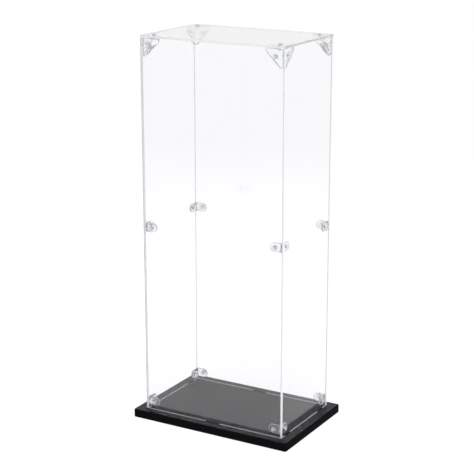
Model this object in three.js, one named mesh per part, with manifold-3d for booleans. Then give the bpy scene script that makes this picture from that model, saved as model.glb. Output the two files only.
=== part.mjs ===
// A tall clear acrylic display case that stands on a glossy black base board.
//
// Five clear panels make the cover. Moulded brackets and clips hold them together inside the four
// upright edges, and push-in rivets with split barbed ends hold those to the panels. Tabs on the
// lower edges of the four walls drop into blind slots in the base board, so the cover lifts off.
//
// Millimetres, +Z up. The origin is the centre of the base board's underside. X runs along the long
// side of the case, and the front panel looks towards -Y.

import * as THREE from 'three';
import { mergeVertices } from 'three/addons/utils/BufferGeometryUtils.js';
import Module from 'manifold-3d';

const wasm = await Module();
wasm.setup();

// ---------------------------------------------------------------- driving dimensions

// Cover, measured over its outside faces. The height is from the base board's top face.
const CASE_WIDTH = 246;
const CASE_DEPTH = 155;
const CASE_HEIGHT = 600;
const PANEL = 3; // thickness of every clear panel

// Base board
const BASE_THICKNESS = 13.5;
const BASE_MARGIN_SIDE = 16; // board left showing beyond the left and right panels
const BASE_MARGIN_FRONT = 14.5; // and beyond the front and back panels
const BASE_CORNER_RADIUS = 3.5; // upright corners
const BASE_EDGE_ROUND = 1.5; // round-over along the top and bottom edges

// Tabs on the walls' lower edges, and the slots that take them
const WIDE_TAB = 26; // one in the middle of the front and back panels
const SIDE_TAB = 20; // two on each side panel
const SIDE_TAB_INSET = 12; // from the case's outer face to the nearer end of a side tab
const TAB_LENGTH = 5;
const SLOT_CLEARANCE = 0.3; // all round a tab, and below its end

// Top corner brackets: three triangular flanges
const BRACKET_LEG = 34; // from the inner corner to a flange's sharp tip
const BRACKET_TIP_RADIUS = 3.5;
const BRACKET_RIVET_INSET = 12; // from the inner corner to a rivet, both ways

// Edge clips: two round-ended flanges
const CLIP_LENGTH = 20; // from the inner corner to a flange's round end
const CLIP_HEIGHT = 14;
const CLIP_RIVET_INSET = 11; // from the inner corner to a rivet
const BOTTOM_CLIP_CENTRE = 13; // height above the base board
const MIDDLE_CLIP_RISE = 2; // height of the middle clips' centres above half the case's height
const FLANGE = 2; // thickness of every bracket and clip flange

// Rivets
const RIVET_HEAD_DIAMETER = 8;
const RIVET_HEAD_RIM = 0.7; // height of the head's straight edge
const RIVET_HEAD_HEIGHT = 1.9;
const RIVET_SHANK_DIAMETER = 3.8;
const RIVET_HOLE_CLEARANCE = 0.3; // around the shank
const RIVET_BARB_OVERHANG = 0.4; // how far the barb reaches past the rim of its hole
const RIVET_TIP_RADIUS = 1.5;
const RIVET_BARB_LENGTH = 3.4;
const RIVET_SPLIT_WIDTH = 0.9;
const RIVET_SPLIT_DEPTH = 5;

// Faces that touch on the real case stand this far apart
const GAP = 0.2;

// Facets
const HOLE_SEGMENTS = 6; // per half turn
const RIVET_SEGMENTS = 12; // per turn

// ---------------------------------------------------------------- derived dimensions

const BASE_WIDTH = CASE_WIDTH + 2 * BASE_MARGIN_SIDE;
const BASE_DEPTH = CASE_DEPTH + 2 * BASE_MARGIN_FRONT;

const WALL_BOTTOM = BASE_THICKNESS + GAP;
const CASE_TOP = BASE_THICKNESS + CASE_HEIGHT;
const TOP_PANEL_BOTTOM = CASE_TOP - PANEL;
const WALL_TOP = TOP_PANEL_BOTTOM - GAP;

// Inner faces of the cover, where the brackets and clips sit
const INNER_X = CASE_WIDTH / 2 - PANEL;
const INNER_Y = CASE_DEPTH / 2 - PANEL;
const SIDE_PANEL_LENGTH = 2 * (INNER_Y - GAP);

const FRONT_PANEL_Y = -CASE_DEPTH / 2 + PANEL / 2; // mid-planes of the walls
const SIDE_PANEL_X = CASE_WIDTH / 2 - PANEL / 2;
const SIDE_TAB_Y = CASE_DEPTH / 2 - SIDE_TAB_INSET - SIDE_TAB / 2;

const CLIP_LOBE_RADIUS = CLIP_HEIGHT / 2;
const CLIP_LOBE_CENTRE = CLIP_LENGTH - CLIP_LOBE_RADIUS; // along the flange
const CLIP_CENTRES = {
  bottom: BASE_THICKNESS + BOTTOM_CLIP_CENTRE,
  middle: BASE_THICKNESS + CASE_HEIGHT / 2 + MIDDLE_CLIP_RISE,
};

const RIVET_HOLE_RADIUS = RIVET_SHANK_DIAMETER / 2 + RIVET_HOLE_CLEARANCE;
const RIVET_BARB_RADIUS = RIVET_HOLE_RADIUS + RIVET_BARB_OVERHANG;
const RIVET_GRIP = PANEL + FLANGE + 3 * GAP; // from under the head to the barb

// The four upright edges. Turned about Z by its angle, a bracket or clip that opens towards +X and
// +Y at the origin opens towards the middle of the case.
const CORNERS = [
  { name: 'front_left', x: -1, y: -1, turn: 0 },
  { name: 'front_right', x: 1, y: -1, turn: Math.PI / 2 },
  { name: 'back_right', x: 1, y: 1, turn: Math.PI },
  { name: 'back_left', x: -1, y: 1, turn: -Math.PI / 2 },
];

// ---------------------------------------------------------------- materials

function clearAcrylic() {
  return new THREE.MeshStandardMaterial({ color: 0xeef2f5, roughness: 0.05, metalness: 0 });
}

function clearNylon() {
  return new THREE.MeshStandardMaterial({ color: 0xdfe2e6, roughness: 0.2, metalness: 0 });
}

function blackGloss() {
  return new THREE.MeshStandardMaterial({ color: 0x0c0c0d, roughness: 0.15, metalness: 0 });
}

// ---------------------------------------------------------------- solids

function toSolid(geometry) {
  const bare = geometry.clone();
  bare.deleteAttribute('normal');
  bare.deleteAttribute('uv');
  const merged = mergeVertices(bare, 1e-4);
  return new wasm.Manifold(
    new wasm.Mesh({
      numProp: 3,
      vertProperties: new Float32Array(merged.attributes.position.array),
      triVerts: new Uint32Array(merged.index.array),
    }),
  );
}

function toGeometry(solid) {
  const mesh = solid.getMesh();
  const geometry = new THREE.BufferGeometry();
  geometry.setAttribute('position', new THREE.BufferAttribute(new Float32Array(mesh.vertProperties), 3));
  geometry.setIndex(new THREE.BufferAttribute(new Uint32Array(mesh.triVerts), 1));
  geometry.computeVertexNormals();
  return geometry;
}

function roundHole(x, y) {
  const hole = new THREE.Path();
  hole.absarc(x, y, RIVET_HOLE_RADIUS, 0, 2 * Math.PI, true);
  return hole;
}

function plate(shape, thickness) {
  return new THREE.ExtrudeGeometry(shape, {
    depth: thickness,
    bevelEnabled: false,
    curveSegments: HOLE_SEGMENTS,
  });
}

// A wall's outline: u along the wall from its middle, v upwards. Tabs hang from its lower edge.
function wallShape(length, tabCentres, tabWidth) {
  const shape = new THREE.Shape();
  shape.moveTo(-length / 2, WALL_BOTTOM);
  for (const centre of tabCentres) {
    shape.lineTo(centre - tabWidth / 2, WALL_BOTTOM);
    shape.lineTo(centre - tabWidth / 2, BASE_THICKNESS - TAB_LENGTH);
    shape.lineTo(centre + tabWidth / 2, BASE_THICKNESS - TAB_LENGTH);
    shape.lineTo(centre + tabWidth / 2, WALL_BOTTOM);
  }
  shape.lineTo(length / 2, WALL_BOTTOM);
  shape.lineTo(length / 2, WALL_TOP);
  shape.lineTo(-length / 2, WALL_TOP);
  shape.closePath();
  return shape;
}

// Rivet holes in a wall whose inner corners are at u = -halfSpan and +halfSpan
function addWallHoles(shape, halfSpan) {
  for (const side of [-1, 1]) {
    const topU = side * (halfSpan - GAP - BRACKET_RIVET_INSET);
    shape.holes.push(roundHole(topU, TOP_PANEL_BOTTOM - GAP - BRACKET_RIVET_INSET));
    for (const height of Object.values(CLIP_CENTRES)) {
      shape.holes.push(roundHole(side * (halfSpan - GAP - CLIP_RIVET_INSET), height));
    }
  }
}

function frontGeometry() {
  const shape = wallShape(CASE_WIDTH, [0], WIDE_TAB);
  addWallHoles(shape, INNER_X);
  return plate(shape, PANEL).translate(0, 0, -PANEL / 2).rotateX(Math.PI / 2);
}

function sideGeometry() {
  const shape = wallShape(SIDE_PANEL_LENGTH, [-SIDE_TAB_Y, SIDE_TAB_Y], SIDE_TAB);
  addWallHoles(shape, INNER_Y);
  return plate(shape, PANEL).translate(0, 0, -PANEL / 2).rotateX(Math.PI / 2).rotateZ(Math.PI / 2);
}

function topGeometry() {
  const shape = new THREE.Shape();
  shape.moveTo(-CASE_WIDTH / 2, -CASE_DEPTH / 2);
  shape.lineTo(CASE_WIDTH / 2, -CASE_DEPTH / 2);
  shape.lineTo(CASE_WIDTH / 2, CASE_DEPTH / 2);
  shape.lineTo(-CASE_WIDTH / 2, CASE_DEPTH / 2);
  shape.closePath();
  for (const corner of CORNERS) {
    const x = corner.x * (INNER_X - GAP - BRACKET_RIVET_INSET);
    const y = corner.y * (INNER_Y - GAP - BRACKET_RIVET_INSET);
    shape.holes.push(roundHole(x, y));
  }
  return plate(shape, PANEL);
}

function baseOutline() {
  const x = BASE_WIDTH / 2;
  const y = BASE_DEPTH / 2;
  const r = BASE_CORNER_RADIUS;
  const shape = new THREE.Shape();
  shape.moveTo(-x + r, -y);
  shape.absarc(x - r, -y + r, r, -Math.PI / 2, 0, false);
  shape.absarc(x - r, y - r, r, 0, Math.PI / 2, false);
  shape.absarc(-x + r, y - r, r, Math.PI / 2, Math.PI, false);
  shape.absarc(-x + r, -y + r, r, Math.PI, 1.5 * Math.PI, false);
  return shape;
}

function slotCutter(lengthX, lengthY, x, y) {
  const depth = TAB_LENGTH + SLOT_CLEARANCE;
  const cutter = new THREE.BoxGeometry(
    lengthX + 2 * SLOT_CLEARANCE,
    lengthY + 2 * SLOT_CLEARANCE,
    2 * depth, // half of it stands above the board, so that the slot is cut cleanly
  );
  return toSolid(cutter.translate(x, y, BASE_THICKNESS));
}

function baseGeometry() {
  const board = new THREE.ExtrudeGeometry(baseOutline(), {
    depth: BASE_THICKNESS - 2 * BASE_EDGE_ROUND,
    bevelEnabled: true,
    bevelThickness: BASE_EDGE_ROUND,
    bevelSize: BASE_EDGE_ROUND,
    bevelOffset: -BASE_EDGE_ROUND,
    bevelSegments: 3,
    curveSegments: 4,
  });
  let solid = toSolid(board.translate(0, 0, BASE_EDGE_ROUND));
  for (const side of [-1, 1]) {
    solid = solid.subtract(slotCutter(WIDE_TAB, PANEL, 0, side * FRONT_PANEL_Y));
    for (const end of [-1, 1]) {
      solid = solid.subtract(slotCutter(PANEL, SIDE_TAB, side * SIDE_PANEL_X, end * SIDE_TAB_Y));
    }
  }
  return toGeometry(solid);
}

// A right triangle with its right angle at the origin, square there and round at its two tips
function bracketFlangeShape() {
  const r = BRACKET_TIP_RADIUS;
  const eighth = Math.PI / 4;
  const inset = BRACKET_LEG - r * (1 + Math.SQRT2); // centre of a tip's arc along its leg
  const shape = new THREE.Shape();
  shape.moveTo(0, 0);
  shape.lineTo(inset, 0);
  shape.absarc(inset, r, r, -2 * eighth, eighth, false);
  shape.absarc(r, inset, r, eighth, 4 * eighth, false);
  shape.closePath();
  shape.holes.push(roundHole(BRACKET_RIVET_INSET, BRACKET_RIVET_INSET));
  return shape;
}

// The bracket's corner is at the origin. Its flanges lie on the planes x = 0, y = 0 and z = 0, and
// the bracket hangs below the origin.
function bracketGeometry() {
  const flat = plate(bracketFlangeShape(), FLANGE);
  const onX = flat.clone().rotateY(-Math.PI / 2).translate(FLANGE, 0, 0);
  const onY = flat.clone().rotateX(Math.PI / 2).translate(0, FLANGE, 0);
  const upright = toSolid(onX).add(toSolid(onY)).add(toSolid(flat));
  return toGeometry(upright).rotateX(Math.PI).rotateZ(Math.PI / 2);
}

// One flange of a clip, from the inner corner to a round end: u along the wall, v upwards
function clipFlangeShape() {
  const shape = new THREE.Shape();
  shape.moveTo(0, -CLIP_LOBE_RADIUS);
  shape.lineTo(CLIP_LOBE_CENTRE, -CLIP_LOBE_RADIUS);
  shape.absarc(CLIP_LOBE_CENTRE, 0, CLIP_LOBE_RADIUS, -Math.PI / 2, Math.PI / 2, false);
  shape.lineTo(0, CLIP_LOBE_RADIUS);
  shape.closePath();
  shape.holes.push(roundHole(CLIP_RIVET_INSET, 0));
  return shape;
}

// The clip's corner is the Z axis, and its flanges lie on the planes x = 0 and y = 0
function clipGeometry() {
  const flange = plate(clipFlangeShape(), FLANGE).rotateX(Math.PI / 2).translate(0, FLANGE, 0);
  const other = flange.clone().rotateZ(Math.PI / 2).translate(FLANGE, 0, 0);
  return toGeometry(toSolid(flange).add(toSolid(other)));
}

// The rivet's axis is Y. Its head is below y = 0, and its split end points towards +Y.
function rivetGeometry() {
  const head = RIVET_HEAD_DIAMETER / 2;
  const shank = RIVET_SHANK_DIAMETER / 2;
  const profile = [
    [0, -RIVET_HEAD_HEIGHT],
    [0.55 * head, -RIVET_HEAD_HEIGHT],
    [head, -RIVET_HEAD_RIM],
    [head, 0],
    [shank, 0],
    [shank, RIVET_GRIP],
    [RIVET_BARB_RADIUS, RIVET_GRIP],
    [RIVET_TIP_RADIUS, RIVET_GRIP + RIVET_BARB_LENGTH],
    [0, RIVET_GRIP + RIVET_BARB_LENGTH],
  ].map(([radius, y]) => new THREE.Vector2(radius, y));
  const pin = new THREE.LatheGeometry(profile, RIVET_SEGMENTS);
  const end = RIVET_GRIP + RIVET_BARB_LENGTH;
  const split = new THREE.BoxGeometry(2 * head, 2 * RIVET_SPLIT_DEPTH, RIVET_SPLIT_WIDTH);
  return toGeometry(toSolid(pin).subtract(toSolid(split.translate(0, end, 0))));
}

// ---------------------------------------------------------------- assembly

const displayCase = new THREE.Group();
const cover = new THREE.Group();
displayCase.add(cover);

function addPiece(parent, name, geometry, material) {
  const mesh = new THREE.Mesh(geometry, material);
  mesh.name = name;
  parent.add(mesh);
  return mesh;
}

// Puts a rivet through a panel: point is on the panel's outer face, inward is the way it goes in
function addRivet(name, point, inward) {
  const rivet = addPiece(cover, name, rivetGeometry(), clearNylon());
  rivet.quaternion.setFromUnitVectors(new THREE.Vector3(0, 1, 0), inward);
  rivet.position.copy(point).addScaledVector(inward, -GAP);
}

// The two rivets of a bracket or clip that go through the walls, inset from the inner corner
function addWallRivets(place, corner, inset, height) {
  const alongX = corner.x * (INNER_X - GAP - inset);
  const alongY = corner.y * (INNER_Y - GAP - inset);
  const face = corner.y < 0 ? 'front' : 'back';
  addRivet(
    `rivet_${place}_${corner.name}_on_${face}`,
    new THREE.Vector3(alongX, (corner.y * CASE_DEPTH) / 2, height),
    new THREE.Vector3(0, -corner.y, 0),
  );
  addRivet(
    `rivet_${place}_${corner.name}_on_side`,
    new THREE.Vector3((corner.x * CASE_WIDTH) / 2, alongY, height),
    new THREE.Vector3(-corner.x, 0, 0),
  );
}

function addBracket(corner) {
  const name = `top_bracket_${corner.name}`;
  const bracket = addPiece(cover, name, bracketGeometry(), clearNylon());
  bracket.rotation.z = corner.turn;
  bracket.position.set(
    corner.x * (INNER_X - GAP),
    corner.y * (INNER_Y - GAP),
    TOP_PANEL_BOTTOM - GAP,
  );
  addWallRivets('top', corner, BRACKET_RIVET_INSET, TOP_PANEL_BOTTOM - GAP - BRACKET_RIVET_INSET);
  addRivet(
    `rivet_top_${corner.name}_on_top`,
    new THREE.Vector3(
      corner.x * (INNER_X - GAP - BRACKET_RIVET_INSET),
      corner.y * (INNER_Y - GAP - BRACKET_RIVET_INSET),
      CASE_TOP,
    ),
    new THREE.Vector3(0, 0, -1),
  );
}

function addClip(corner, level) {
  const height = CLIP_CENTRES[level];
  const clip = addPiece(cover, `${level}_clip_${corner.name}`, clipGeometry(), clearNylon());
  clip.rotation.z = corner.turn;
  clip.position.set(corner.x * (INNER_X - GAP), corner.y * (INNER_Y - GAP), height);
  addWallRivets(level, corner, CLIP_RIVET_INSET, height);
}

addPiece(displayCase, 'base_board', baseGeometry(), blackGloss());
addPiece(cover, 'front_panel', frontGeometry(), clearAcrylic()).position.y = FRONT_PANEL_Y;
addPiece(cover, 'back_panel', frontGeometry(), clearAcrylic()).position.y = -FRONT_PANEL_Y;
addPiece(cover, 'left_panel', sideGeometry(), clearAcrylic()).position.x = -SIDE_PANEL_X;
addPiece(cover, 'right_panel', sideGeometry(), clearAcrylic()).position.x = SIDE_PANEL_X;
addPiece(cover, 'top_panel', topGeometry(), clearAcrylic()).position.z = TOP_PANEL_BOTTOM;

for (const corner of CORNERS) {
  addBracket(corner);
  for (const level of Object.keys(CLIP_CENTRES)) {
    addClip(corner, level);
  }
}

export default displayCase;
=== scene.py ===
"""A tall clear acrylic display case on a black base board: looks, light and camera.

Metres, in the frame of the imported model: +Z up, the origin under the middle of the base board, and
the front panel towards -Y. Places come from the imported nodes; the small sizes below are the ones
that the nodes' boxes don't give.
"""

import math

import bmesh
import bpy
from mathutils import Matrix, Vector


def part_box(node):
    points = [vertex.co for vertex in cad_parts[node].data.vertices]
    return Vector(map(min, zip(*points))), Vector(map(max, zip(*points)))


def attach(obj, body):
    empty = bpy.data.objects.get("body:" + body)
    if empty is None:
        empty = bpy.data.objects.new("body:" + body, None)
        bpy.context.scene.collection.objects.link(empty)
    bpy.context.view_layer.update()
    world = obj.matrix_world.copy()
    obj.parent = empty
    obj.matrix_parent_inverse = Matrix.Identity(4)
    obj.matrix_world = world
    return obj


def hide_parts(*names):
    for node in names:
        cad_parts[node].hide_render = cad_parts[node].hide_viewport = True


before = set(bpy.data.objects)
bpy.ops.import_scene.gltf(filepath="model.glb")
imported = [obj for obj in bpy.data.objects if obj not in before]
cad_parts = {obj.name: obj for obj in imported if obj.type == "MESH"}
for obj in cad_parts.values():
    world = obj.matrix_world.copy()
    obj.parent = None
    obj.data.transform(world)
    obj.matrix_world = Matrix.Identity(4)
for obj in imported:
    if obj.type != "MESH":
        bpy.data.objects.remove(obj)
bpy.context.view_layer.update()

MM = 0.001

# Clear sheet
PANEL = 3 * MM
PANEL_EDGE_BREAK = 0.2 * MM  # the cut edges are flame polished, which rounds them a little
WIDE_TAB = 26 * MM
SIDE_TAB = 20 * MM
SIDE_TAB_TO_PANEL_END = 8.8 * MM
TAB_LENGTH = 5.2 * MM

# Base board
BASE_CORNER_RADIUS = 3.5 * MM
BASE_EDGE_ROUND = 1.5 * MM
SLOT_CLEARANCE = 0.3 * MM
SLOT_DEPTH = 5.3 * MM

# Brackets and clips
FLANGE = 2 * MM
FLANGE_EDGE_ROUND = 0.45 * MM
BRACKET_LEG = 34 * MM
BRACKET_TIP_RADIUS = 3.5 * MM
BRACKET_RIVET_INSET = 12 * MM
CLIP_RIVET_INSET = 11 * MM

# Rivets
RIVET_HEAD = 8 * MM
RIVET_HEAD_HEIGHT = 1.9 * MM
RIVET_HEAD_RIM = 0.7 * MM
RIVET_SHANK = 3.8 * MM
RIVET_GRIP = 5.6 * MM
RIVET_BARB_RADIUS = 2.6 * MM
RIVET_BARB_LENGTH = 3.4 * MM
RIVET_BARB_LAND = (0.1 * MM, 0.6 * MM)  # where the barb is at its widest, from the grip's end
RIVET_TIP_RADIUS = 1.5 * MM
RIVET_SPLIT_WIDTH = 0.9 * MM
RIVET_SPLIT_DEPTH = 5 * MM
RIVET_HOLE_RADIUS = 2.2 * MM

# Steps in round shapes
HOLE_STEPS = 48  # per turn
ARC_STEPS = 10  # per arc of an outline, or per quarter turn of a rivet's head
SHEET_RIM_STEPS = 2  # across a rounded rim
BOARD_RIM_STEPS = 8
BEVEL_SEGMENTS = 3

# Edges that turn by more than these angles are shaded sharp, or get a bevel
SLAB_SHARP_ANGLE = math.radians(35)
RIVET_SHARP_ANGLE = math.radians(35)
BEVEL_ANGLE = math.radians(40)
BEVELLED_SHARP_ANGLE = math.radians(28)
ALONG_AXIS = 0.999  # a unit normal's share of an axis, past which a face counts as flat to it
FLAT_ANGLE = math.radians(0.5)  # faces of a prism that meet at less than this become one

# Refraction. The side panels have less than real acrylic, so that they mirror little of the board.
SHEET_IOR = 1.52
SIDE_SHEET_IOR = 1.26
CUT_EDGE_IOR = 1.49
MOULDING_IOR = 1.53
BOARD_TOP_IOR = 1.16  # soft lacquer: it mirrors much less than glass does
BOARD_SIDE_IOR = 1.03

# Floor and light
FLOOR_REACH = 14.0
# The floor's emission paints a pool of light around the object, fading between these distances from
# it
FLOOR_GLOW_FROM, FLOOR_GLOW_TO = 0.2, 2.1  # distances from the object between which it fades
FLOOR_GLOW_NEAR, FLOOR_GLOW_FAR = 0.79, 0.61
SKY_STRENGTH = 1.15
SKY_STOPS = ((0.0, 0.8), (0.28, 0.72), (0.6, 1.0), (1.0, 1.0))  # (height, level), low to overhead

# Camera
CAMERA_AZIMUTH = math.radians(30.09)
CAMERA_ELEVATION = math.radians(15.66)
CAMERA_DISTANCE = 2.2073
CAMERA_AIM = Vector((0, 0, 0.2978))
CAMERA_LENS = 107.32  # millimetres, for a sensor 36 mm wide

# Light passes many faces on its way through the sheets, and is lost where the bounces run out
CLEAR_BOUNCES = 48
GLOSSY_BOUNCES = 24

# Sockets of a Mix node that mixes colours
MIX_DARK, MIX_LIGHT, MIX_RESULT = 6, 7, 2

# For each upright edge, the sides of the case that it is on and the turn of its fittings
CORNERS = {
    "front_left": (-1, -1, 0.0),
    "front_right": (1, -1, math.pi / 2),
    "back_right": (1, 1, math.pi),
    "back_left": (-1, 1, -math.pi / 2),
}


# ------------------------------------------------------------------ node helpers


def new_material(name):
    """A material with a Principled shader, and a function that adds nodes to it."""
    material = bpy.data.materials.new(name)
    material.use_nodes = True
    tree = material.node_tree
    shader = tree.nodes["Principled BSDF"]

    def add(kind, inputs=None, **settings):
        node = tree.nodes.new(kind)
        for key, value in settings.items():
            setattr(node, key, value)
        for key, value in (inputs or {}).items():
            node.inputs[key].default_value = value
        return node

    return material, tree.links, shader, add


def object_noise(links, add, scale, detail=3.0, stretch=(1, 1, 1)):
    """Noise over object space, stretched by its scale along each axis."""
    coordinates = add("ShaderNodeTexCoord")
    mapping = add("ShaderNodeMapping", {"Scale": stretch})
    noise = add("ShaderNodeTexNoise", {"Scale": scale, "Detail": detail})
    links.new(coordinates.outputs["Object"], mapping.inputs["Vector"])
    links.new(mapping.outputs["Vector"], noise.inputs["Vector"])
    return noise.outputs["Fac"]


def to_range(links, add, value, low, high, smallest=0.0, largest=1.0):
    """The value, mapped from smallest..largest to low..high and held between them."""
    node = add(
        "ShaderNodeMapRange",
        {"From Min": smallest, "From Max": largest, "To Min": low, "To Max": high},
    )
    links.new(value, node.inputs["Value"])
    return node.outputs["Result"]


def bump(links, add, shader, height, strength, distance):
    """Relief on the shader's surface from a height."""
    node = add("ShaderNodeBump", {"Strength": strength, "Distance": distance})
    links.new(height, node.inputs["Height"])
    links.new(node.outputs["Normal"], shader.inputs["Normal"])


def tint_between(links, add, value, darker, lighter):
    """A colour between two, chosen by a value from 0 to 1."""
    node = add("ShaderNodeMix", data_type="RGBA")
    links.new(value, node.inputs["Factor"])
    node.inputs[MIX_DARK].default_value = (*darker, 1)
    node.inputs[MIX_LIGHT].default_value = (*lighter, 1)
    return node.outputs[MIX_RESULT]


# ------------------------------------------------------------------ materials


def clear_sheet(name, index):
    """The polished faces of the acrylic: nearly perfect, with a faint haze of wiping marks."""
    material, links, shader, add = new_material(name)
    shader.inputs["IOR"].default_value = index
    shader.inputs["Transmission Weight"].default_value = 1.0
    smears = object_noise(links, add, 9.0, 4.0, (1, 1, 0.35))
    roughness = to_range(links, add, smears, 0.0, 0.02, 0.45, 0.75)
    links.new(roughness, shader.inputs["Roughness"])
    colour = tint_between(links, add, smears, (0.966, 0.9665, 0.9765), (0.972, 0.9725, 0.981))
    links.new(colour, shader.inputs["Base Color"])
    return material


def frosted_edge(name, transmission, darker, lighter, painted_glow=0.0):
    """An edge with a fine even frost, so that it catches the light against a dark ground.

    The painted glow is emission that stands in for the light the sheet gathers over its faces and
    gives out at its edges.
    """
    material, links, shader, add = new_material(name)
    shader.inputs["IOR"].default_value = CUT_EDGE_IOR
    # Painted glow: emission that makes the edge shine though it is no lamp
    shader.inputs["Emission Color"].default_value = (1, 1, 1, 1)
    shader.inputs["Emission Strength"].default_value = painted_glow
    shader.inputs["Transmission Weight"].default_value = transmission
    frost = object_noise(links, add, 900.0, 2.0)
    roughness = to_range(links, add, frost, 0.45, 0.6)
    links.new(roughness, shader.inputs["Roughness"])
    links.new(tint_between(links, add, frost, darker, lighter), shader.inputs["Base Color"])
    bump(links, add, shader, frost, 0.2, 0.0001)
    return material


def clear_moulding(name, smoothest, roughest, darker, lighter):
    """Moulded clear plastic, cloudier and softer on its surface than the sheet."""
    material, links, shader, add = new_material(name)
    shader.inputs["IOR"].default_value = MOULDING_IOR
    shader.inputs["Transmission Weight"].default_value = 1.0
    cloud = object_noise(links, add, 160.0, 3.0)
    roughness = to_range(links, add, cloud, smoothest, roughest, 0.3, 0.7)
    links.new(roughness, shader.inputs["Roughness"])
    links.new(tint_between(links, add, cloud, darker, lighter), shader.inputs["Base Color"])
    bump(links, add, shader, cloud, 0.04, 0.0002)
    return material


def black_board(name, index, darker, lighter):
    """Black lacquered board: an even gloss with a slight orange peel and wiping marks."""
    material, links, shader, add = new_material(name)
    shader.inputs["IOR"].default_value = index
    smears = object_noise(links, add, 14.0, 5.0, (1, 1.6, 1))
    roughness = to_range(links, add, smears, 0.13, 0.24, 0.35, 0.7)
    links.new(roughness, shader.inputs["Roughness"])
    links.new(tint_between(links, add, smears, darker, lighter), shader.inputs["Base Color"])
    peel = object_noise(links, add, 420.0, 1.0)
    bump(links, add, shader, peel, 0.02, 0.0001)
    return material


def pale_floor():
    """A white floor with a painted pool of light: its emission is a little stronger around the
    object than far away.
    """
    material, links, shader, add = new_material("pale_floor")
    shader.inputs["Base Color"].default_value = (0.36, 0.36, 0.36, 1)
    shader.inputs["Roughness"].default_value = 0.9
    shader.inputs["Specular IOR Level"].default_value = 0.0
    coordinates = add("ShaderNodeTexCoord")
    length = add("ShaderNodeVectorMath", operation="LENGTH")
    links.new(coordinates.outputs["Object"], length.inputs[0])
    # Painted pool of light: emission strongest near the object, which also lightens its contact
    # shadow
    glow = to_range(
        links,
        add,
        length.outputs["Value"],
        FLOOR_GLOW_NEAR,
        FLOOR_GLOW_FAR,
        FLOOR_GLOW_FROM,
        FLOOR_GLOW_TO,
    )
    shader.inputs["Emission Color"].default_value = (1, 1, 1, 1)
    links.new(glow, shader.inputs["Emission Strength"])
    return material


# ------------------------------------------------------------------ outlines, as lists of (u, v)


def arc(centre, radius, start, end, steps):
    """Points from one angle to another, both ends included."""
    return [
        (
            centre[0] + radius * math.cos(start + (end - start) * i / steps),
            centre[1] + radius * math.sin(start + (end - start) * i / steps),
        )
        for i in range(steps + 1)
    ]


def circle(centre, radius):
    """A hole: clockwise, so that its inside is on the left as an outline's is."""
    return arc(centre, radius, 2 * math.pi, 0, HOLE_STEPS)[:-1]


def rounded_rectangle(low, high, radius):
    """Between two opposite corners, counterclockwise."""
    x0, y0, x1, y1 = low[0] + radius, low[1] + radius, high[0] - radius, high[1] - radius
    points = []
    for quarter, centre in enumerate(((x1, y0), (x1, y1), (x0, y1), (x0, y0))):
        start = math.pi / 2 * (quarter - 1)
        points += arc(centre, radius, start, start + math.pi / 2, ARC_STEPS)
    return points


def wall_outline(half_length, bottom, top, tabs, tab_width):
    """A wall with tabs hanging from its lower edge, centred at each of the tabs."""
    points = [(-half_length, bottom)]
    for centre in tabs:
        left, right = centre - tab_width / 2, centre + tab_width / 2
        low = bottom - TAB_LENGTH
        points += [(left, bottom), (left, low), (right, low), (right, bottom)]
    return points + [(half_length, bottom), (half_length, top), (-half_length, top)]


# ------------------------------------------------------------------ solids


def inset(loop, amount):
    """The loop moved towards its left by amount, with mitred corners."""
    moved = []
    for i, point in enumerate(loop):
        before = Vector(point) - Vector(loop[i - 1])
        after = Vector(loop[(i + 1) % len(loop)]) - Vector(point)
        before.normalize()
        after.normalize()
        left = Vector((-before.y, before.x)) + Vector((-after.y, after.x))
        moved.append(tuple(Vector(point) + left * (amount / (1 + before.dot(after)))))
    return moved


def slab(name, loops, thickness, edge_round, steps=SHEET_RIM_STEPS):
    """A flat solid around z = 0 from an outline and its holes, with rounded rims.

    Faces of the two flat sides use material 0, and the rest use material 1.
    """
    mesh = bmesh.new()
    caps = {-1: [], 1: []}
    rims = []
    for loop in loops:
        rings = []
        for side in (-1, 1):
            turns = range(steps + 1) if side < 0 else range(steps, -1, -1)
            for turn in turns:
                angle = math.pi / 2 * turn / steps
                ring = inset(loop, edge_round * (1 - math.sin(angle)))
                z = side * (thickness / 2 - edge_round * (1 - math.cos(angle)))
                rings.append([mesh.verts.new((u, v, z)) for u, v in ring])
        for lower, upper in zip(rings, rings[1:]):
            for i in range(len(loop)):
                j = (i + 1) % len(loop)
                face = mesh.faces.new((lower[i], lower[j], upper[j], upper[i]))
                face.material_index = 1
                face.smooth = True
        for side, ring in ((-1, rings[0]), (1, rings[-1])):
            for i in range(len(loop)):
                edge = mesh.edges.get((ring[i], ring[(i + 1) % len(loop)]))
                caps[side].append(edge)
                rims.append(edge)
    for side in (-1, 1):
        filled = bmesh.ops.triangle_fill(
            mesh, edges=caps[side], use_beauty=True, normal=(0, 0, side)
        )
        for face in filled["geom"]:
            if isinstance(face, bmesh.types.BMFace):
                face.material_index = 0
                face.smooth = False
                if face.normal.z * side < 0:
                    face.normal_flip()
    for edge in rims:
        edge.smooth = False
    for edge in mesh.edges:
        if len(edge.link_faces) == 2 and edge.calc_face_angle() > SLAB_SHARP_ANGLE:
            edge.smooth = False
    data = bpy.data.meshes.new(name)
    mesh.to_mesh(data)
    mesh.free()
    return data


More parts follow.
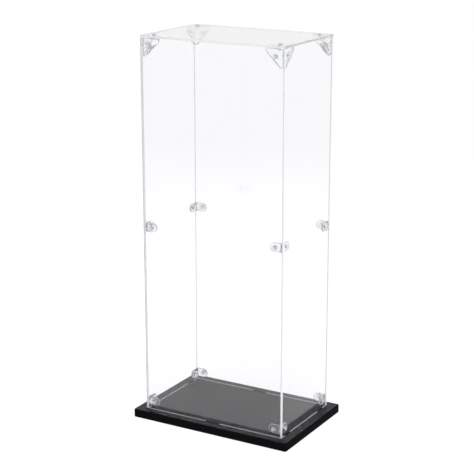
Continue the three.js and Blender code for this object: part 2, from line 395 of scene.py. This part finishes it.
def prism(loops, low, high):
    """A sharp prism between two heights, for joining to others."""
    mesh = bmesh.new()
    edges = []
    for loop in loops:
        ring = [mesh.verts.new((u, v, low)) for u, v in loop]
        edges += [mesh.edges.new((ring[i - 1], ring[i])) for i in range(len(ring))]
    filled = bmesh.ops.triangle_fill(mesh, edges=edges, use_beauty=True, normal=(0, 0, -1))
    faces = [g for g in filled["geom"] if isinstance(g, bmesh.types.BMFace)]
    raised = bmesh.ops.extrude_face_region(mesh, geom=faces, use_keep_orig=True)
    top = [g for g in raised["geom"] if isinstance(g, bmesh.types.BMVert)]
    bmesh.ops.translate(mesh, vec=(0, 0, high - low), verts=top)
    bmesh.ops.recalc_face_normals(mesh, faces=mesh.faces)
    bmesh.ops.dissolve_limit(mesh, angle_limit=FLAT_ANGLE, verts=mesh.verts, edges=mesh.edges)
    data = bpy.data.meshes.new("prism")
    mesh.to_mesh(data)
    mesh.free()
    return data


def add_object(name, data, materials=()):
    """A new object in the scene, with the materials in its mesh's slots."""
    for material in materials:
        data.materials.append(material)
    made = bpy.data.objects.new(name, data)
    bpy.context.scene.collection.objects.link(made)
    return made


def baked_mesh(source, name):
    """The object's mesh with its modifiers applied. The object goes."""
    bpy.context.view_layer.update()
    evaluated = source.evaluated_get(bpy.context.evaluated_depsgraph_get())
    data = bpy.data.meshes.new_from_object(evaluated)
    data.name = name
    bpy.data.objects.remove(source)
    return data


def combine(first, others, operation):
    """The first mesh joined to, or cut by, each of the others."""
    body = add_object("body", first)
    tools = []
    for k, other in enumerate(others):
        tool = add_object(f"tool_{k}", other)
        tools.append(tool)
        step = body.modifiers.new("step", "BOOLEAN")
        step.operation = operation
        step.solver = "EXACT"
        step.object = tool
    data = baked_mesh(body, "combined")
    for tool in tools:
        bpy.data.objects.remove(tool)
    return data


def rounded(data, width):
    """The mesh with its sharp edges rounded, shaded smooth between them."""
    source = add_object("source", data)
    step = source.modifiers.new("round", "BEVEL")
    step.width = width
    step.segments = BEVEL_SEGMENTS
    step.limit_method = "ANGLE"
    step.angle_limit = BEVEL_ANGLE
    step.harden_normals = False
    result = baked_mesh(source, "rounded")
    result.shade_smooth()
    result.set_sharp_from_angle(angle=BEVELLED_SHARP_ANGLE)
    return result


# ------------------------------------------------------------------ pieces


def stand_for(node, data, materials, body="cover"):
    """Puts a mesh in the place of a CAD node, as part of a body."""
    piece = add_object(node + "_visual", data, materials)
    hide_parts(node)
    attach(piece, body)


def wall_matrix(node, turn):
    """Stands a slab up in the node's place, its v along Z, and turns it about Z."""
    low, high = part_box(node)
    middle = (low + high) / 2
    place = Matrix.Translation((middle.x, middle.y, 0))
    return place @ Matrix.Rotation(turn, 4, "Z") @ Matrix.Rotation(math.pi / 2, 4, "X")


def rivet_holes(wanted, axis):
    """A hole for each rivet whose name is wanted, in the plane across the axis it lies along."""
    holes = []
    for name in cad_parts:
        if name.startswith("rivet_") and wanted(name):
            low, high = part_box(name)
            middle = (low + high) / 2
            centre = [middle[k] for k in range(3) if k != axis]
            holes.append(circle(centre, RIVET_HOLE_RADIUS))
    return holes


def side_tab_centre(node):
    """How far the middle of each tab is from the middle of a side panel."""
    low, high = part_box(node)
    return (high.y - low.y) / 2 - SIDE_TAB_TO_PANEL_END - SIDE_TAB / 2


def mark_ends(data, half_length):
    """Material 2 for the cut ends of a sheet that lies along X."""
    for face in data.polygons:
        if face.material_index == 1 and abs(face.center.x) > half_length - PANEL:
            face.material_index = 2


def build_panels(wall_looks, side_looks, top_looks):
    """The five panels. Each looks is for a sheet's faces, its edges and its cut ends."""
    for node in ("front_panel", "back_panel"):
        low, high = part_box(node)
        half = (high.x - low.x) / 2
        face = node.split("_")[0]
        outline = wall_outline(half, low.z + TAB_LENGTH, high.z, [0], WIDE_TAB)
        holes = rivet_holes(lambda name: name.endswith("_on_" + face), 1)
        data = slab(node, [outline, *holes], PANEL, PANEL_EDGE_BREAK)
        mark_ends(data, half)
        data.transform(wall_matrix(node, 0))
        stand_for(node, data, wall_looks)
    for node in ("left_panel", "right_panel"):
        low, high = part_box(node)
        half = (high.y - low.y) / 2
        side = node.split("_")[0]
        tab = side_tab_centre(node)
        outline = wall_outline(half, low.z + TAB_LENGTH, high.z, [-tab, tab], SIDE_TAB)
        holes = rivet_holes(lambda name: side in name and name.endswith("_on_side"), 0)
        data = slab(node, [outline, *holes], PANEL, PANEL_EDGE_BREAK)
        mark_ends(data, half)
        data.transform(wall_matrix(node, math.pi / 2))
        stand_for(node, data, side_looks)
    low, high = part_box("top_panel")
    outline = [(low.x, low.y), (high.x, low.y), (high.x, high.y), (low.x, high.y)]
    holes = rivet_holes(lambda name: name.endswith("_on_top"), 2)
    data = slab("top_panel", [outline, *holes], PANEL, PANEL_EDGE_BREAK)
    mark_ends(data, (high.x - low.x) / 2)
    data.transform(Matrix.Translation((low + high) / 2))
    stand_for("top_panel", data, top_looks)


def slot_cutter(x, y, width, depth, top):
    """A prism that cuts the slot for a tab of this width and depth into the board."""
    half_x, half_y = width / 2 + SLOT_CLEARANCE, depth / 2 + SLOT_CLEARANCE
    corners = [
        (x - half_x, y - half_y),
        (x + half_x, y - half_y),
        (x + half_x, y + half_y),
        (x - half_x, y + half_y),
    ]
    return prism([corners], top - SLOT_DEPTH, top + SLOT_DEPTH)


def build_base(top, side):
    """The board, with a slot under each tab of the walls."""
    low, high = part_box("base_board")
    outline = rounded_rectangle(low, high, BASE_CORNER_RADIUS)
    thickness = high.z - low.z
    data = slab("base_board", [outline], thickness, BASE_EDGE_ROUND, BOARD_RIM_STEPS)
    data.transform(Matrix.Translation((0, 0, thickness / 2)))
    cutters = []
    for node in ("front_panel", "back_panel"):
        wall_low, wall_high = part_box(node)
        middle = (wall_low + wall_high) / 2
        cutters.append(slot_cutter(middle.x, middle.y, WIDE_TAB, PANEL, high.z))
    for node in ("left_panel", "right_panel"):
        wall_low, wall_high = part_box(node)
        middle = (wall_low + wall_high) / 2
        for end in (-1, 1):
            y = end * side_tab_centre(node)
            cutters.append(slot_cutter(middle.x, y, PANEL, SIDE_TAB, high.z))
    data = combine(data, cutters, "DIFFERENCE")
    stand_for("base_board", data, (top, side), "base")


def bracket_flange():
    """A right triangle with its right angle at the origin and round tips, and its rivet hole."""
    r = BRACKET_TIP_RADIUS
    eighth = math.pi / 4
    along = BRACKET_LEG - r * (1 + math.sqrt(2))
    outline = [(0, 0), *arc((along, r), r, -2 * eighth, eighth, ARC_STEPS)]
    outline += arc((r, along), r, eighth, 4 * eighth, ARC_STEPS)
    return [outline, circle((BRACKET_RIVET_INSET, BRACKET_RIVET_INSET), RIVET_HOLE_RADIUS)]


def frost_rims(data, flat_axes):
    """Material 1 for the faces that don't face along one of the flat axes."""
    for face in data.polygons:
        facing = max(abs(face.normal[axis]) for axis in flat_axes)
        face.material_index = 0 if facing > ALONG_AXIS else 1


def bracket_mesh():
    """A bracket with its corner at the origin, open towards +X and +Y, hanging below."""
    flat = prism(bracket_flange(), 0, FLANGE)
    on_x = flat.copy()
    on_x.transform(Matrix.Translation((FLANGE, 0, 0)) @ Matrix.Rotation(-math.pi / 2, 4, "Y"))
    on_y = flat.copy()
    on_y.transform(Matrix.Translation((0, FLANGE, 0)) @ Matrix.Rotation(math.pi / 2, 4, "X"))
    data = rounded(combine(flat, [on_x, on_y], "UNION"), FLANGE_EDGE_ROUND)
    frost_rims(data, (0, 1, 2))
    data.transform(Matrix.Rotation(math.pi / 2, 4, "Z") @ Matrix.Rotation(math.pi, 4, "X"))
    return data


def clip_mesh(length, height):
    """A clip with its corner on the Z axis, open towards +X and +Y, centred on z = 0."""
    lobe = height / 2
    middle = length - lobe
    outline = [(0, -lobe), *arc((middle, 0), lobe, -math.pi / 2, math.pi / 2, 4 * ARC_STEPS)]
    outline.append((0, lobe))
    flange = prism([outline, circle((CLIP_RIVET_INSET, 0), RIVET_HOLE_RADIUS)], 0, FLANGE)
    flange.transform(Matrix.Translation((0, FLANGE, 0)) @ Matrix.Rotation(math.pi / 2, 4, "X"))
    other = flange.copy()
    other.transform(Matrix.Translation((FLANGE, 0, 0)) @ Matrix.Rotation(math.pi / 2, 4, "Z"))
    data = rounded(combine(flange, [other], "UNION"), FLANGE_EDGE_ROUND)
    frost_rims(data, (0, 1))
    return data


def rivet_profile():
    """(radius, height) from the middle of the head round to the middle of the split end."""
    head = RIVET_HEAD / 2
    crown = RIVET_HEAD_HEIGHT - RIVET_HEAD_RIM
    points = []
    for k in range(ARC_STEPS + 1):
        angle = math.pi / 2 * k / ARC_STEPS
        points.append((head * math.sin(angle), -RIVET_HEAD_RIM - crown * math.cos(angle)))
    shank = RIVET_SHANK / 2
    end = RIVET_GRIP + RIVET_BARB_LENGTH
    points += [(head, 0), (shank, 0), (shank, RIVET_GRIP)]
    points += [(RIVET_BARB_RADIUS, RIVET_GRIP + step) for step in RIVET_BARB_LAND]
    points += [(RIVET_TIP_RADIUS, end), (0, end)]
    return points


def rivet_mesh():
    """A rivet along +Y with the underside of its head at y = 0."""
    mesh = bmesh.new()
    profile = rivet_profile()
    rings = []
    for radius, y in profile:
        if radius == 0:
            rings.append([mesh.verts.new((0, y, 0))] * HOLE_STEPS)
        else:
            turn = 2 * math.pi / HOLE_STEPS
            rings.append(
                [
                    mesh.verts.new((radius * math.sin(k * turn), y, radius * math.cos(k * turn)))
                    for k in range(HOLE_STEPS)
                ]
            )
    for lower, upper in zip(rings, rings[1:]):
        for k in range(HOLE_STEPS):
            j = (k + 1) % HOLE_STEPS
            corners = dict.fromkeys((lower[k], lower[j], upper[j], upper[k]))
            mesh.faces.new(list(corners))
    bmesh.ops.recalc_face_normals(mesh, faces=mesh.faces)
    pin = bpy.data.meshes.new("pin")
    mesh.to_mesh(pin)
    mesh.free()
    end = RIVET_GRIP + RIVET_BARB_LENGTH
    half, depth = RIVET_SPLIT_WIDTH / 2, RIVET_SPLIT_DEPTH
    corners = [(-RIVET_HEAD, end - depth), (RIVET_HEAD, end - depth), (RIVET_HEAD, end + depth)]
    split = prism([[*corners, (-RIVET_HEAD, end + depth)]], -half, half)
    data = combine(pin, [split], "DIFFERENCE")
    data.shade_smooth()
    data.set_sharp_from_angle(angle=RIVET_SHARP_ANGLE)
    return data


def build_brackets_and_clips(bracket_looks, clip_looks):
    """Each looks is for a fitting's flat faces and for its rims."""
    bracket = bracket_mesh()
    clip_low, clip_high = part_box("middle_clip_front_left")
    clip = clip_mesh(clip_high.x - clip_low.x, clip_high.z - clip_low.z)
    kinds = {
        "top_bracket": (bracket, bracket_looks),
        "middle_clip": (clip, clip_looks),
        "bottom_clip": (clip, clip_looks),
    }
    for corner, (side_x, side_y, turn) in CORNERS.items():
        for kind, (shape, looks) in kinds.items():
            node = f"{kind}_{corner}"
            low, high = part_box(node)
            x = high.x if side_x > 0 else low.x
            y = high.y if side_y > 0 else low.y
            z = high.z if kind == "top_bracket" else (low.z + high.z) / 2
            data = shape.copy()
            data.transform(Matrix.Translation((x, y, z)) @ Matrix.Rotation(turn, 4, "Z"))
            stand_for(node, data, looks)


def build_rivets(plastic):
    rivet = rivet_mesh()
    length = RIVET_HEAD_HEIGHT + RIVET_GRIP + RIVET_BARB_LENGTH
    for node in sorted(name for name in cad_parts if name.startswith("rivet_")):
        low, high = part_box(node)
        middle = (low + high) / 2
        if node.endswith("_on_top"):
            inward = Vector((0, 0, -1))
        elif node.endswith("_on_side"):
            inward = Vector((-1 if middle.x > 0 else 1, 0, 0))
        else:
            inward = Vector((0, -1 if middle.y > 0 else 1, 0))
        under_head = middle - inward * (length / 2 - RIVET_HEAD_HEIGHT)
        turn = Vector((0, 1, 0)).rotation_difference(inward).to_matrix().to_4x4()
        data = rivet.copy()
        data.transform(Matrix.Translation(under_head) @ turn)
        stand_for(node, data, (plastic,))


# ------------------------------------------------------------------ stage, light and camera


def build_floor():
    data = bpy.data.meshes.new("floor")
    corners = ((-1, -1), (1, -1), (1, 1), (-1, 1))
    data.from_pydata(
        [(x * FLOOR_REACH, y * FLOOR_REACH, 0) for x, y in corners], [], [(0, 1, 2, 3)]
    )
    floor = add_object("floor", data, (pale_floor(),))


def light_world():
    """A soft white studio: brightest overhead, a little darker towards the floor."""
    world = bpy.data.worlds.new("studio")
    bpy.context.scene.world = world
    world.use_nodes = True
    nodes, links = world.node_tree.nodes, world.node_tree.links
    background = nodes["Background"]
    coordinates = nodes.new("ShaderNodeTexCoord")
    split = nodes.new("ShaderNodeSeparateXYZ")
    ramp = nodes.new("ShaderNodeValToRGB")
    links.new(coordinates.outputs["Generated"], split.inputs["Vector"])
    links.new(split.outputs["Z"], ramp.inputs["Fac"])
    links.new(ramp.outputs["Color"], background.inputs["Color"])
    elements = ramp.color_ramp.elements
    for height, _ in SKY_STOPS[1:-1]:
        elements.new(height)
    for element, (height, level) in zip(elements, SKY_STOPS):
        element.position = height
        element.color = (level, level, level, 1)
    background.inputs["Strength"].default_value = SKY_STRENGTH


def place_camera():
    flat = math.cos(CAMERA_ELEVATION)
    back = Vector(
        (
            math.sin(CAMERA_AZIMUTH) * flat,
            -math.cos(CAMERA_AZIMUTH) * flat,
            math.sin(CAMERA_ELEVATION),
        )
    )
    data = bpy.data.cameras.new("camera")
    data.lens = CAMERA_LENS
    data.sensor_width = 36.0
    data.clip_end = 60.0
    camera = bpy.data.objects.new("camera", data)
    bpy.context.scene.collection.objects.link(camera)
    camera.location = CAMERA_AIM + back * CAMERA_DISTANCE
    camera.rotation_euler = back.to_track_quat("Z", "Y").to_euler()
    bpy.context.scene.camera = camera


sheet = clear_sheet("clear_sheet", SHEET_IOR)
# The cut edges below are copies of one frosted acrylic. Their last number is a painted glow and
# their tints differ, both set edge by edge to paint how bright each edge shows.
cut_edge = frosted_edge("cut_edge", 0.12, (0.955, 0.96, 0.97), (0.985, 0.988, 0.995), 0.07)
build_panels(
    (
        sheet,
        cut_edge,
        frosted_edge("wall_end", 0.12, (0.93, 0.935, 0.945), (0.96, 0.963, 0.97), 0.03),
    ),
    (
        clear_sheet("side_sheet", SIDE_SHEET_IOR),
        cut_edge,
        frosted_edge("side_end", 0.12, (0.955, 0.96, 0.97), (0.985, 0.988, 0.995), 0.15),
    ),
    (
        sheet,
        frosted_edge("top_edge", 0.5, (0.93, 0.935, 0.95), (0.97, 0.973, 0.98), 0.05),
        frosted_edge("top_end", 0.75, (0.9, 0.905, 0.92), (0.95, 0.955, 0.965)),
    ),
)
# The top and sides are two copies of one black lacquer. The top's lighter colour and the sides'
# darker colour are painted light and shade. The sides' lower IOR also makes them mirror less of the
# floor.
build_base(
    black_board("board_top_painted_lighter", BOARD_TOP_IOR, (0.014, 0.0138, 0.02), (0.0175, 0.0172, 0.024)),
    black_board("board_side_painted_darker", BOARD_SIDE_IOR, (0.004, 0.004, 0.0045), (0.006, 0.006, 0.0066)),
)
build_brackets_and_clips(
    (
        clear_moulding("clear_bracket", 0.0, 0.06, (0.95, 0.955, 0.965), (0.98, 0.982, 0.988)),
        frosted_edge("bracket_rim", 0.6, (0.93, 0.935, 0.945), (0.97, 0.973, 0.98), 0.12),
    ),
    (
        clear_moulding("clear_clip", 0.04, 0.18, (0.86, 0.865, 0.88), (0.92, 0.923, 0.932)),
        frosted_edge("clip_rim", 0.35, (0.8, 0.81, 0.825), (0.89, 0.895, 0.91)),
    ),
)
build_rivets(clear_moulding("clear_rivet", 0.08, 0.2, (0.89, 0.9, 0.915), (0.95, 0.955, 0.965)))
build_floor()
light_world()
place_camera()
bpy.context.scene.view_settings.view_transform = "Standard"
bpy.context.scene.cycles.max_bounces = CLEAR_BOUNCES
bpy.context.scene.cycles.transmission_bounces = CLEAR_BOUNCES
bpy.context.scene.cycles.glossy_bounces = GLOSSY_BOUNCES
